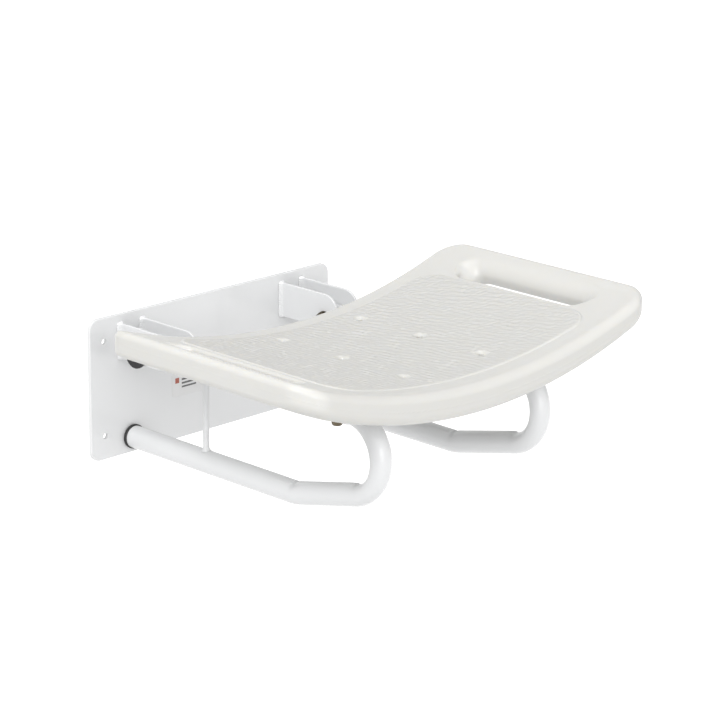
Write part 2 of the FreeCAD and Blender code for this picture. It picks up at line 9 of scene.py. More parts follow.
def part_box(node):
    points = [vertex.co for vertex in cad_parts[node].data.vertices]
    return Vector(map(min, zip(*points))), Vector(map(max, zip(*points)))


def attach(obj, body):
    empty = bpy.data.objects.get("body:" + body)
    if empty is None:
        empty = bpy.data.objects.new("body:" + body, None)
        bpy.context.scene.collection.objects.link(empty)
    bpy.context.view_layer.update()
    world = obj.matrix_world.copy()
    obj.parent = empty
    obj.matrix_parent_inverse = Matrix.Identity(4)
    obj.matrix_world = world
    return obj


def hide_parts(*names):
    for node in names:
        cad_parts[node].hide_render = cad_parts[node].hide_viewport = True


# Looks of a wall-mounted folding shower seat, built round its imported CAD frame.
# Shapes are worked out in millimetres, in the frame's own axes, and scaled to metres as a mesh is made.
# X runs along the wall, Y points into the wall and Z is up.

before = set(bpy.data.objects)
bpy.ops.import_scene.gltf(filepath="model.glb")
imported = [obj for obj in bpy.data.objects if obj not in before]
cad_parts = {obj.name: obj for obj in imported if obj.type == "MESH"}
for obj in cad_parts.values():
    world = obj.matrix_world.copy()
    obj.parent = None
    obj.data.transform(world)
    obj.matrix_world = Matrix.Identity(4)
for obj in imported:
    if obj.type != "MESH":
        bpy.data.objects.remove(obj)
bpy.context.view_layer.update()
MM = 0.001


def box_mm(node):
    """A CAD node's lowest and highest corners, in millimetres."""
    low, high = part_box(node)
    return np.array(low) / MM, np.array(high) / MM


# ---------------------------------------------------------------- driving dimensions

SEAT_LOW, SEAT_HIGH = box_mm("seat_board")
SEAT_GRID = 1.25
SEAT_FRONT_CORNER_R = 34.0
SEAT_BACK_CORNER_R = 31.0
SEAT_TOP_Z = 68.3             # the top and bottom surfaces on the middle line
SEAT_TOP_CAMBER_R = 720.0
SEAT_BOTTOM_Z = 36.2
SEAT_BOTTOM_CAMBER_R = 670.0
SEAT_TOP_EDGE_R = 8.5
SEAT_BACK_EDGE_R = 8.0
SEAT_BOTTOM_EDGE_R = 5.0
SEAT_FRONT_BOTTOM_EDGE_R = 11.0
RIM_RAISE = 0.9               # the low bead along the rim at the front and sides
RIM_INSET = 10.0
RIM_WIDTH = 6.0
EDGE_BLEND = 50.0             # the length over which one edge rounding turns into the next
PANEL_HALF = 193.0
PANEL_BACK_Y = -147.0
PANEL_FRONT_Y = -392.0
PANEL_CORNER_R = 30.0
PANEL_RAISE = 1.5
PANEL_STEP = 1.3              # half the width of the step round the panel
PANEL_EDGE_BAND = 2.0         # the smooth band between the step and the grain
GRAIN_HEIGHT = 0.26
GRAIN_SEED = 3
GRAIN_COUNT = 24
GRAIN_WAVES = (5.0, 10.0)     # shortest and longest ripple in the moulded grain
GRAIN_HEADING = math.radians(45.0)
GRAIN_SWING = math.radians(55.0)
SLOT_INNER_X = 201.0
SLOT_OUTER_X = 230.0
SLOT_FRONT_Y = -360.0
SLOT_BACK_Y = -180.0
SLOT_BACK_RUN = 12.0          # how far the back end of the slot slopes in, from top to bottom
SLOT_FRONT_RUN = 8.0
SLOT_RUN_DEPTH = 26.0
SLOT_INNER_TOP_R = 5.0
SLOT_OUTER_TOP_R = 14.0
SLOT_INNER_BOTTOM_R = 6.0
SLOT_OUTER_BOTTOM_R = 16.6
SLOT_BLEND_XS = (205.0, 228.0)  # between these, the inner side's rounding turns into the outer side's
DRAIN_X = 59.0
DRAIN_YS = (-176.0, -265.0, -354.0)
DRAIN_R = 3.0
DRAIN_RIM_R = 1.0
SINK_R = 7.4
SINK_DEPTH = 2.2              # of the round dish at the top of each drain hole
SINK_RIM_R = 0.6
GROOVE_FRONT_Y = -374.0
GROOVE_PLAY = 0.3
GROOVE_EDGE_R = 2.0
PARTING_HEIGHT = 0.12
PARTING_WIDTH = 0.7

LOOP_LOW, LOOP_HIGH = box_mm("right_tube_loop")
TUBE_R = (LOOP_HIGH[0] - LOOP_LOW[0]) / 2.0
TUBE_WALL = 1.5
ARM_X = (LOOP_HIGH[0] + LOOP_LOW[0]) / 2.0
LOWER_TUBE_Z = LOOP_LOW[2] + TUBE_R
LOWER_TUBE_END_Y = LOOP_HIGH[1]
UPPER_TUBE_Z = LOOP_HIGH[2] - TUBE_R
PLUG_FLANGE_H = 2.0
UPPER_TUBE_END_Y = box_mm("right_tube_plug")[1][1] - PLUG_FLANGE_H
U_BEND_R = 43.0
U_BEND_Y = LOOP_LOW[1] + U_BEND_R + TUBE_R
RISE = math.radians(13.2)
LOWER_BEND_R = 45.0
LOWER_BEND_FLAT = 0.4         # how much of the U bend's flattening the lower bend has
INNER_FLAT = 0.36             # how much the U bend flattens the tube's inside, as a share of its radius
OUTER_FLAT = 0.10
SIDE_SPREAD = 0.03
FLAT_RISE = 0.6               # below 1, the flat comes in early in the bend
DENT_DEPTH = 1.1              # the mark a bending die leaves on the inside of the bend
DENT_LENGTH = 5.0

CHEEK_LOW, CHEEK_HIGH = box_mm("right_outer_cheek")
PLATE_FACE_Y = CHEEK_HIGH[1]
SHEET = 3.0
CHEEK_SPAN = 35.0             # over the outer faces of a bracket's two cheeks
CHEEK_HEIGHT = CHEEK_HIGH[2] - CHEEK_LOW[2]
CHEEK_MIDDLE_Z = (CHEEK_HIGH[2] + CHEEK_LOW[2]) / 2.0
CHEEK_EDGE_R = 0.9
CHEEK_GRID = 0.6
WELD_R = 3.2
WELD_PAST_TOP = 1.4
WELD_RIPPLE = 0.3
WELD_PITCH = 2.6
WELD_BLEND = 2.0

PIVOT_LOW, PIVOT_HIGH = box_mm("right_pivot_bolt")
PIVOT_Y = (PIVOT_LOW[1] + PIVOT_HIGH[1]) / 2.0
PIVOT_Z = (PIVOT_LOW[2] + PIVOT_HIGH[2]) / 2.0
PIVOT_HOLE_R = 4.2
M8_R = 4.0
M8_PITCH = 1.25
M6_R = 3.0
M6_PITCH = 1.0

ROD_LOW, ROD_HIGH = box_mm("right_brace_rod")
ROD_Y = (ROD_LOW[1] + ROD_HIGH[1]) / 2.0
ROD_R = 3.5
ROD_WELD_R = 6.0
ROD_WELD_BLEND = 4.0
ROD_WELD_EDGE_R = 0.6
ROD_TUBE_EDGE_R = 0.05
ROD_GRID = 0.4

AXIS_R = 0.2                  # the smallest ring of a turned piece, next to its axis
LABEL_CORNER_R = 2.5
LABEL_BEVEL = 0.12

SIDES = (("left", -1.0), ("right", 1.0))


# ---------------------------------------------------------------- distance fields, in millimetres

def rounded_rect(x, y, x0, x1, y0, y1, corner_r):
    """Distance from the outline of a rectangle with rounded corners, negative inside."""
    dx = np.abs(x - (x0 + x1) / 2.0) - (x1 - x0) / 2.0 + corner_r
    dy = np.abs(y - (y0 + y1) / 2.0) - (y1 - y0) / 2.0 + corner_r
    outside = np.hypot(np.maximum(dx, 0.0), np.maximum(dy, 0.0))
    return np.minimum(np.maximum(dx, dy), 0.0) + outside - corner_r


def both(a, b, radius):
    """What two shapes share, with the edge where they meet rounded."""
    outside = np.hypot(np.maximum(a + radius, 0.0), np.maximum(b + radius, 0.0))
    return np.minimum(np.maximum(a, b), -radius) + outside


def either(a, b, radius):
    """Two shapes as one, with the corner where they meet filled."""
    return -both(-a, -b, radius)


def ramp(start, end, value):
    """0 before start, 1 after end, and smooth between."""
    t = np.clip((value - start) / (end - start), 0.0, 1.0)
    return t * t * (3.0 - 2.0 * t)


def between(start, end, share):
    """start where share is 0, end where it is 1."""
    return start + (end - start) * share


def above_arc(x, z, middle_z, radius):
    """Height above a surface that curves up on both sides of X = 0."""
    return radius - np.hypot(x, middle_z + radius - z)


def ripples(x, y, seed, count, waves, heading, swing):
    """A random rippled height from about -1 to 1, the same on every run. Its waves run near heading."""
    rng = np.random.default_rng(seed)
    height = 0.0
    for _ in range(count):
        turn = 2.0 * math.pi / rng.uniform(*waves)
        angle = heading + rng.uniform(-swing, swing)
        phase = rng.uniform(0.0, 2.0 * math.pi)
        height = height + np.sin((x * math.cos(angle) + y * math.sin(angle)) * turn + phase)
    return height / math.sqrt(count)


# ---------------------------------------------------------------- meshes

def add_mesh(name, vertices_mm, faces):
    """A smooth-shaded object from points in millimetres, with its normals pointing out."""
    mesh = bpy.data.meshes.new(name)
    vertices = np.asarray(vertices_mm, float) * MM
    mesh.from_pydata(vertices.tolist(), [], [list(map(int, f)) for f in faces])
    work = bmesh.new()
    work.from_mesh(mesh)
    bmesh.ops.recalc_face_normals(work, faces=work.faces)
    work.to_mesh(mesh)
    work.free()
    mesh.shade_smooth()
    piece = bpy.data.objects.new(name, mesh)
    bpy.context.scene.collection.objects.link(piece)
    return piece


def soften_flats(piece, degrees=40.0):
    """Keep edges sharper than this angle crisp."""
    piece.data.set_sharp_from_angle(angle=math.radians(degrees))
    return piece


def slope(field, points, reach=0.02):
    """The field's unit gradient at some points."""
    columns = []
    for axis in range(3):
        step = np.zeros(3)
        step[axis] = reach
        columns.append(field(*(points + step).T) - field(*(points - step).T))
    gradient = np.stack(columns, 1)
    return gradient / np.maximum(np.linalg.norm(gradient, axis=1, keepdims=True), 1e-9)


def settle(field, points, rounds):
    """Move points on to the field's zero surface."""
    for _ in range(rounds):
        points = points - field(*points.T)[:, None] * slope(field, points)
    return points


def grid_step(fine):
    return fine


def part_of(array, axis, chosen):
    """A slice of an array along one axis."""
    cut = [slice(None)] * array.ndim
    cut[axis] = chosen
    return array[tuple(cut)]


def surface_net(field, low, high, step):
    """Points and quads of the field's zero surface, from a grid of that step.

    The grid starts half a step early, so that flat faces at low and high lie between its planes."""
    axes = [np.arange(low[k] - step / 2.0, high[k] + step, step) for k in range(3)]
    grid = np.meshgrid(*axes, indexing="ij", sparse=True)
    inside = np.broadcast_to(field(*grid) < 0.0, [len(a) for a in axes])

    corners = inside.astype(np.int8)
    for axis in range(3):
        corners = part_of(corners, axis, slice(None, -1)) + part_of(corners, axis, slice(1, None))
    cells = np.argwhere((corners > 0) & (corners < 8))
    number = np.full(corners.shape, -1, np.int64)
    number[tuple(cells.T)] = np.arange(len(cells))

    quads = []
    for axis in range(3):
        u = (axis + 1) % 3
        v = (axis + 2) % 3
        before = part_of(inside, axis, slice(None, -1))
        edges = np.argwhere(before != part_of(inside, axis, slice(1, None)))
        ring = []
        for du, dv in ((1, 1), (0, 1), (0, 0), (1, 0)):
            cell = edges.copy()
            cell[:, u] -= du
            cell[:, v] -= dv
            ring.append(number[tuple(cell.T)])
        quads.append(np.stack(ring, 1))
    return np.array(low, float) + cells * step, np.concatenate(quads)


def field_mesh(name, field, low, high, step):
    """An object on the field's zero surface, with its shading taken straight from the field."""
    points, quads = surface_net(field, low, high, step)
    points = settle(field, points, 4)
    piece = add_mesh(name, points, quads)
    piece.data.normals_split_custom_set_from_vertices(slope(field, points).tolist())
    return piece


def rings_mesh(name, rings, closed_along):
    """An object from a stack of rings with the same number of points each."""
    rings = np.asarray(rings, float)
    count, around = rings.shape[:2]
    faces = []
    for i in range(count if closed_along else count - 1):
        j = (i + 1) % count
        for k in range(around):
            m = (k + 1) % around
            faces.append((i * around + k, i * around + m, j * around + m, j * around + k))
    if not closed_along:
        faces.append(range(around))
        faces.append(range((count - 1) * around, count * around))
    return add_mesh(name, rings.reshape(-1, 3), faces)


def turned(name, profile, base, axis, around=96):
    """A piece turned about an axis. Each profile point is (radius, distance along the axis, flats).

    Where flats isn't 0, the ring is trimmed to a hexagon of that width, as on a bolt head."""
    axis = Vector(axis).normalized()
    side = axis.orthogonal().normalized()
    up = axis.cross(side)
    angles = np.arange(around) * 2.0 * math.pi / around
    sixth = math.pi / 3.0
    hexagon = 0.5 / np.cos((angles + sixth / 2.0) % sixth - sixth / 2.0)
    rings = []
    for radius, along, flats in profile:
        reach = np.minimum(radius, hexagon * flats) if flats else np.full(around, radius)
        ring = np.outer(np.cos(angles) * reach, side) + np.outer(np.sin(angles) * reach, up)
        rings.append(ring + np.array(base) + np.array(axis) * along)
    return soften_flats(rings_mesh(name, rings, False))


def rounded_profile(corners, steps=6):
    """A profile for turned(), from corners of (radius from the axis, distance along, rounding)."""
    points = []
    for i, (radius, along, rounding) in enumerate(corners):
        here = np.array([radius, along], float)
        if rounding <= 0.0:
            points.append((radius, along, 0.0))
            continue
        before = np.array(corners[i - 1][:2], float) - here
        after = np.array(corners[i + 1][:2], float) - here
        start = here + before / np.linalg.norm(before) * rounding
        end = here + after / np.linalg.norm(after) * rounding
        for t in np.linspace(0.0, 1.0, steps):
            r, h = (1.0 - t) ** 2 * start + 2.0 * t * (1.0 - t) * here + t ** 2 * end
            points.append((r, h, 0.0))
    return points


def turned_ring(name, profile, base, axis):
    """Like turned(), for a piece with a hole along its axis."""
    solid = turned(name, profile, base, axis)
    work = bmesh.new()
    work.from_mesh(solid.data)
    caps = [f for f in work.faces if len(f.verts) > 4]
    bmesh.ops.delete(work, geom=caps, context="FACES_ONLY")
    bmesh.ops.bridge_loops(work, edges=[e for e in work.edges if e.is_boundary])
    bmesh.ops.recalc_face_normals(work, faces=work.faces)
    work.to_mesh(solid.data)
    work.free()
    return soften_flats(solid)


def joined(name, pieces):
    """Several objects' meshes as one object."""
    work = bmesh.new()
    for piece in pieces:
        work.from_mesh(piece.data)
        bpy.data.objects.remove(piece)
    mesh = bpy.data.meshes.new(name)
    work.to_mesh(mesh)
    work.free()
    whole = bpy.data.objects.new(name, mesh)
    bpy.context.scene.collection.objects.link(whole)
    return whole


# ---------------------------------------------------------------- seat board

def panel_distance(x, y):
    """Distance outside the grained panel's outline."""
    return rounded_rect(x, y, -PANEL_HALF, PANEL_HALF, PANEL_FRONT_Y, PANEL_BACK_Y, PANEL_CORNER_R)


def grain_share(x, y):
    """1 where the panel is grained, 0 on its smooth edge, outside it and round the drain holes."""
    share = ramp(-PANEL_STEP, -PANEL_STEP - PANEL_EDGE_BAND, panel_distance(x, y))
    for drain_y in DRAIN_YS:
        from_drain = np.hypot(np.abs(x) - DRAIN_X, y - drain_y)
        share = share * ramp(SINK_R, SINK_R + PANEL_EDGE_BAND, from_drain)
    return share


def back_share(y):
    """1 at the board's back edge, 0 away from it."""
    return ramp(SEAT_HIGH[1] - EDGE_BLEND, SEAT_HIGH[1] - SEAT_BACK_EDGE_R, y)


def front_share(y):
    """1 at the board's front edge, 0 away from it."""
    return ramp(SEAT_LOW[1] + EDGE_BLEND, SEAT_LOW[1] + SEAT_FRONT_BOTTOM_EDGE_R, y)


def seat_outline(x, y, z):
    """Distance outside the board's upright faces, with the mould's parting line round them."""
    in_front = y < (SEAT_LOW[1] + SEAT_HIGH[1]) / 2.0
    corner_r = np.where(in_front, SEAT_FRONT_CORNER_R, SEAT_BACK_CORNER_R)
    outline = rounded_rect(x, y, SEAT_LOW[0], SEAT_HIGH[0], SEAT_LOW[1], SEAT_HIGH[1], corner_r)
    up_from_bottom = above_arc(x, z, SEAT_BOTTOM_Z, SEAT_BOTTOM_CAMBER_R)
    up_from_top = above_arc(x, z, SEAT_TOP_Z, SEAT_TOP_CAMBER_R)
    from_middle = (up_from_bottom + up_from_top) / 2.0
    return outline - PARTING_HEIGHT * np.exp(-(from_middle / PARTING_WIDTH) ** 2)


def grip_slot(x, y, z):
    """How far each point is into a grip slot. The slot's ends slope in towards the bottom."""
    slope_in = ramp(0.0, SLOT_RUN_DEPTH, -above_arc(x, z, SEAT_TOP_Z, SEAT_TOP_CAMBER_R))
    front_y = SLOT_FRONT_Y + SLOT_FRONT_RUN * slope_in
    back_y = SLOT_BACK_Y - SLOT_BACK_RUN * slope_in
    end_r = (SLOT_OUTER_X - SLOT_INNER_X) / 2.0
    return -rounded_rect(np.abs(x), y, SLOT_INNER_X, SLOT_OUTER_X, front_y, back_y, end_r)


def seat_edge_radii(x, y, by_slot):
    """The rounding of the board's top and bottom edges, round its slots and round its outline."""
    outer_side = ramp(*SLOT_BLEND_XS, np.abs(x))
    slot_top_r = between(SLOT_INNER_TOP_R, SLOT_OUTER_TOP_R, outer_side)
    slot_bottom_r = between(SLOT_INNER_BOTTOM_R, SLOT_OUTER_BOTTOM_R, outer_side)
    edge_top_r = between(SEAT_TOP_EDGE_R, SEAT_BACK_EDGE_R, back_share(y))
    edge_bottom_r = between(SEAT_BOTTOM_EDGE_R, SEAT_FRONT_BOTTOM_EDGE_R, front_share(y))
    return np.where(by_slot, slot_top_r, edge_top_r), np.where(by_slot, slot_bottom_r, edge_bottom_r)


def above_seat(x, y, z, outline):
    """Height above the board's top surface, with its panel, grain and rim bead."""
    panel = ramp(PANEL_STEP, -PANEL_STEP, panel_distance(x, y))
    grain = ripples(x, y, GRAIN_SEED, GRAIN_COUNT, GRAIN_WAVES, GRAIN_HEADING, GRAIN_SWING)
    grain = GRAIN_HEIGHT * grain * grain_share(x, y)
    rim = RIM_RAISE * (1.0 - back_share(y)) * np.exp(-((outline + RIM_INSET) / RIM_WIDTH) ** 2)
    return above_arc(x, z, SEAT_TOP_Z, SEAT_TOP_CAMBER_R) - panel * PANEL_RAISE - grain - rim


def with_drains(body, top, x, y):
    """The board with its drain holes, each in a round dish."""
    for drain_y in DRAIN_YS:
        from_axis = np.hypot(np.abs(x) - DRAIN_X, y - drain_y)
        dish = SINK_DEPTH * (1.0 - np.minimum(from_axis / SINK_R, 1.0) ** 2)
        sink = np.maximum(from_axis - SINK_R, -(top + dish))
        body = both(body, -sink, SINK_RIM_R)
        body = both(body, DRAIN_R - from_axis, DRAIN_RIM_R)
    return body


def with_grooves(body, x, y, z):
    """The board with a groove below for each upper tube."""
    groove_r = TUBE_R + GROOVE_PLAY
    ahead = np.minimum(y - (GROOVE_FRONT_Y + groove_r), 0.0)
    high = np.maximum(z - UPPER_TUBE_Z, 0.0)
    groove = groove_r - np.sqrt((np.abs(x) - ARM_X) ** 2 + high ** 2 + ahead ** 2)
    return both(body, groove, GROOVE_EDGE_R)


def seat_field(x, y, z):
    """The board: cambered, with a raised panel, two grip slots, drain holes and two grooves below."""
    outline = seat_outline(x, y, z)
    slot = grip_slot(x, y, z)
    top_r, bottom_r = seat_edge_radii(x, y, slot > outline)
    top = above_seat(x, y, z, outline)
    bottom = -above_arc(x, z, SEAT_BOTTOM_Z, SEAT_BOTTOM_CAMBER_R)
    body = both(np.maximum(outline, slot), bottom, bottom_r)
    body = both(body, top, top_r)
    return with_grooves(with_drains(body, top, x, y), x, y, z)


def make_seat():
    """The board, with its grained part marked for the material."""
    step = grid_step(SEAT_GRID)
    seat = field_mesh("seat_shell", seat_field, SEAT_LOW - 2.0 * step, SEAT_HIGH + 2.0 * step, step)
    x, y, z = (np.array([v.co for v in seat.data.vertices]) / MM).T
    near_top = above_arc(x, z, SEAT_TOP_Z, SEAT_TOP_CAMBER_R) > -SEAT_TOP_EDGE_R / 2.0
    grained = grain_share(x, y) * near_top
    mask = seat.data.attributes.new("panel", "FLOAT", "POINT")
    mask.data.foreach_set("value", grained.astype(np.float32))
    return seat


# ---------------------------------------------------------------- tube loops

def towards_centre(heading):
    """The direction from the tube to the centre of its bend, as Y and Z."""
    return np.array([math.sin(heading), math.cos(heading)])


def loop_stations():
    """The loop's centre line in the YZ plane, as points of (centre, heading, flattening, die mark)."""
    u_start = np.array([U_BEND_Y, UPPER_TUBE_Z - U_BEND_R]) - U_BEND_R * towards_centre(RISE)
    corner_y = u_start[0] + (u_start[1] - LOWER_TUBE_Z) / math.tan(RISE)
    reach = LOWER_BEND_R * math.tan(RISE / 2.0)
    bend_start = np.array([corner_y + reach, LOWER_TUBE_Z])
    stations = []

    def straight(start, end, heading, count):
        """Add the stations of a straight run, all but its end."""
        for t in np.linspace(0.0, 1.0, count, endpoint=False):
            stations.append((start + (end - start) * t, heading, 0.0, 0.0))

    def arc(start, heading, turn, radius, fullness, count):
        """Add the stations of a bend, all but its end, and return where it ends."""
        centre = start + radius * towards_centre(heading)
        for t in np.linspace(0.0, 1.0, count, endpoint=False):
            now = heading + turn * t
            length = radius * turn * t
            flat = fullness * math.sin(math.pi * t) ** FLAT_RISE
            mark = fullness * math.exp(-((length - DENT_LENGTH) / DENT_LENGTH) ** 2)
            stations.append((centre - radius * towards_centre(now), now, flat, mark))
        return centre - radius * towards_centre(heading + turn)

    straight(np.array([LOWER_TUBE_END_Y, LOWER_TUBE_Z]), bend_start, 0.0, 8)
    bend_end = arc(bend_start, 0.0, RISE, LOWER_BEND_R, LOWER_BEND_FLAT, 14)
    straight(bend_end, u_start, RISE, 8)
    u_end = arc(u_start, RISE, math.pi - RISE, U_BEND_R, 1.0, 80)
    upper_end = np.array([UPPER_TUBE_END_Y, UPPER_TUBE_Z])
    straight(u_end, upper_end, math.pi, 12)
    stations.append((upper_end, math.pi, 0.0, 0.0))
    return stations


def loop_rings(radius, around=64):
    """Rings round the loop's centre line, for a tube surface of that radius at X = 0."""
    angles = np.arange(around) * 2.0 * math.pi / around
    rings = []
    for centre, heading, flat, mark in loop_stations():
        inward = towards_centre(heading)
        inner = radius * (1.0 - INNER_FLAT * flat)
        outer = radius * (1.0 - OUTER_FLAT * flat ** 2)
        wide = radius * (1.0 + SIDE_SPREAD * flat)
        toward = np.cos(angles) * np.where(np.cos(angles) > 0.0, inner, outer)
        toward = toward - DENT_DEPTH * mark * np.maximum(np.cos(angles), 0.0) ** 2
        ring = np.zeros((around, 3))
        ring[:, 0] = np.sin(angles) * wide
        ring[:, 1] = centre[0] + inward[0] * toward
        ring[:, 2] = centre[1] + inward[1] * toward
        rings.append(ring)
    return rings


def make_loop(side, sign):
    """A hollow tube loop, flattened a little where it is bent."""
    rings = loop_rings(TUBE_R) + loop_rings(TUBE_R - TUBE_WALL)[::-1]
    rings = np.array(rings) + np.array([sign * ARM_X, 0.0, 0.0])
    return soften_flats(rings_mesh(side + "_bent_tube", rings, True))


# ---------------------------------------------------------------- cheeks

def cheek_field(x, y, z):
    """A cheek about X = 0: a sheet with a rounded nose, and a rippled weld bead on each face."""
    nose_r = CHEEK_HEIGHT / 2.0
    nose_y = CHEEK_LOW[1] + nose_r
    side_view = np.hypot(np.minimum(y - nose_y, 0.0), z - CHEEK_MIDDLE_Z) - nose_r
    side_view = np.maximum(side_view, y - PLATE_FACE_Y)
    cheek = both(np.abs(x) - SHEET / 2.0, side_view, CHEEK_EDGE_R)
    hole = PIVOT_HOLE_R - np.hypot(y - PIVOT_Y, z - PIVOT_Z)
    cheek = both(cheek, hole, CHEEK_EDGE_R / 2.0)

    ripple = WELD_RIPPLE * np.abs(np.sin(math.pi * z / WELD_PITCH))
    end = np.maximum(np.abs(z - CHEEK_MIDDLE_Z) - (nose_r + WELD_PAST_TOP - WELD_R), 0.0)
    away = np.sqrt((np.abs(x) - SHEET / 2.0) ** 2 + (y - PLATE_FACE_Y) ** 2 + end ** 2)
    bead = np.maximum(away - WELD_R - ripple, y - PLATE_FACE_Y)
    return either(cheek, bead, WELD_BLEND)


def make_cheek(side, sign, where, outward):
    """The outer (outward 1) or inner (outward -1) cheek of one bracket."""
    step = grid_step(CHEEK_GRID)
    margin = WELD_R + 3.0 * step
    low = (-SHEET - margin, CHEEK_LOW[1] - margin, CHEEK_LOW[2] - margin)
    high = (SHEET + margin, PLATE_FACE_Y + margin, CHEEK_HIGH[2] + margin)
    cheek = field_mesh(side + "_" + where + "_cheek_plate", cheek_field, low, high, step)
    middle = sign * (ARM_X + outward * (CHEEK_SPAN - SHEET) / 2.0)
    cheek.data.transform(Matrix.Translation((middle * MM, 0.0, 0.0)))
    return cheek


# ---------------------------------------------------------------- brace rods

def rod_field(x, y, z):
    """An upright rod between the two tubes, with a weld fillet at each end."""
    from_axis = np.hypot(x, y - ROD_Y)
    rod = from_axis - ROD_R
    tubes = np.minimum(np.hypot(x, z - UPPER_TUBE_Z), np.hypot(x, z - LOWER_TUBE_Z)) - TUBE_R
    whole = either(rod, tubes, ROD_WELD_BLEND)
    whole = both(whole, -tubes, ROD_TUBE_EDGE_R)
    whole = both(whole, from_axis - ROD_WELD_R, ROD_WELD_EDGE_R)
    past_tubes = np.abs(z - (UPPER_TUBE_Z + LOWER_TUBE_Z) / 2.0) - (UPPER_TUBE_Z - LOWER_TUBE_Z) / 2.0
    return np.maximum(whole, past_tubes)


def make_rod(side, sign):
    """One brace rod, between the tubes of its loop."""
    step = grid_step(ROD_GRID)
    reach = ROD_WELD_R + 2.0 * step
    low = (-reach, ROD_Y - reach, LOWER_TUBE_Z)
    high = (reach, ROD_Y + reach, UPPER_TUBE_Z)
    rod = field_mesh(side + "_welded_rod", rod_field, low, high, step)
    rod.data.transform(Matrix.Translation((sign * ARM_X * MM, 0.0, 0.0)))
    return rod


# ---------------------------------------------------------------- rubber pieces

def make_foot(side, sign):
    """The rubber foot in the wall end of the lower tube: a pad with a rounded lip, and a stem."""
    low, high = box_mm(side + "_wall_foot")
    pad_r = (high[0] - low[0]) / 2.0
    pad_h = high[1] - LOWER_TUBE_END_Y
    length = high[1] - low[1]
    face_r = pad_r - 4.0
    stem_r = TUBE_R - TUBE_WALL
    tip_r = stem_r - 1.5
    corners = [(AXIS_R, 0.0, 0.0), (face_r, 0.0, 0.0), (pad_r, 0.0, 1.4), (pad_r, pad_h, 0.7),
               (stem_r, pad_h, 0.0), (stem_r, length - 1.0, 0.0), (tip_r, length, 0.0), (AXIS_R, length, 0.0)]
    base = (sign * ARM_X, high[1], LOWER_TUBE_Z)
    return turned(side + "_rubber_foot", rounded_profile(corners), base, (0.0, -1.0, 0.0))


def make_buffer(side, sign):
    """The round rubber buffer on the outer cheek, with a shallow dish in its face."""
    low, high = box_mm(side + "_buffer")
    radius = (high[2] - low[2]) / 2.0
    face_x = sign * (ARM_X + CHEEK_SPAN / 2.0)
    proud = max(abs(low[0]), abs(high[0])) - abs(face_x)
    stem = (high[0] - low[0]) - proud
    stem_r = 3.0
    dish_z = proud - 1.0
    corners = [(AXIS_R, -stem, 0.0), (stem_r, -stem, 0.4), (stem_r, 0.0, 0.0), (radius - 0.4, 0.0, 0.3),
               (radius, 1.2, 0.5), (radius, proud, 2.2), (radius * 0.62, proud, 1.2),
               (radius * 0.5, dish_z, 1.0), (AXIS_R, dish_z, 0.0)]
    base = (face_x, (low[1] + high[1]) / 2.0, (low[2] + high[2]) / 2.0)
    return turned(side + "_rubber_buffer", rounded_profile(corners), base, (sign, 0.0, 0.0))


# ---------------------------------------------------------------- bolts and nuts

def hex_profile(flats, height, start, away):
    """A chamfered hexagon from start, going along away (1 or -1)."""
    corner = flats / math.sqrt(3.0) + 0.05
    face_r = 0.46 * flats
    chamfer = 0.13 * flats
    points = [(corner, start, flats)]
    for t in np.linspace(0.0, 1.0, 6):
        radius = corner - (corner - face_r) * t
        points.append((radius, start + away * (height - chamfer * (1.0 - t)), flats))
    return points


def thread_profile(radius, start, end, pitch):
    """Ring grooves that read as a thread, from start to end."""
    groove_depth = 0.275 * pitch
    steps = 4 * max(1, int(abs(end - start) / pitch))
    points = []
    for i in range(steps + 1):
        depth = 0.0 if i % 4 < 2 else groove_depth
        points.append((radius - depth, start + (end - start) * i / steps, 0.0))
    return points


def make_pivot_bolt(side, sign):
    """The M8 bolt: chamfered head outside, threaded end inside."""
    low, high = box_mm(side + "_pivot_bolt")
    outer = max(abs(low[0]), abs(high[0]))
    tip = min(abs(low[0]), abs(high[0]))
    flats = high[2] - low[2]
    head_h = 5.3
    thread_length = 11.0
    under_head = outer - head_h
    stamped = outer - 0.35
    profile = [(AXIS_R, tip, 0.0), (M8_R - 0.8, tip, 0.0)]
    profile += thread_profile(M8_R, tip + 0.6, tip + thread_length, M8_PITCH)
    profile += [(M8_R, tip + thread_length + 0.5, 0.0), (M8_R, under_head, 0.0)]
    profile += hex_profile(flats, head_h, under_head, 1.0)
    profile += [(flats * 0.42, outer, 0.0), (flats * 0.38, stamped, 0.0), (AXIS_R, stamped, 0.0)]
    base = (0.0, PIVOT_Y, PIVOT_Z)
    return turned(side + "_pivot_hex_bolt", profile, base, (sign, 0.0, 0.0))


def make_pivot_nut(side, sign):
    """The lock nut: a chamfered hexagon with a rounded collar round its insert."""
    low, high = box_mm(side + "_pivot_nut")
    outer = max(abs(low[0]), abs(high[0]))
    height = high[0] - low[0]
    flats = high[2] - low[2]
    hex_h = height * 0.72
    collar_r = flats * 0.43
    profile = [(M8_R, 0.0, 0.0)] + hex_profile(flats, hex_h, 0.0, 1.0)
    profile += [(collar_r, hex_h, 0.0), (collar_r, height - 1.0, 0.0), (collar_r - 0.4, height - 0.3, 0.0),
                (collar_r - 1.2, height, 0.0), (M8_R + 0.8, height, 0.0), (M8_R, height - 0.5, 0.0)]
    base = (sign * outer, PIVOT_Y, PIVOT_Z)
    return turned_ring(side + "_pivot_lock_nut", profile, base, (-sign, 0.0, 0.0))


def seat_bolt_places(node):
    """The two bolts of a node that holds a pair, as X, Y, lowest and highest Z."""
    low, high = box_mm(node)
    y = (low[1] + high[1]) / 2.0
    return [(sign * ARM_X, y, low[2], high[2]) for _, sign in SIDES]


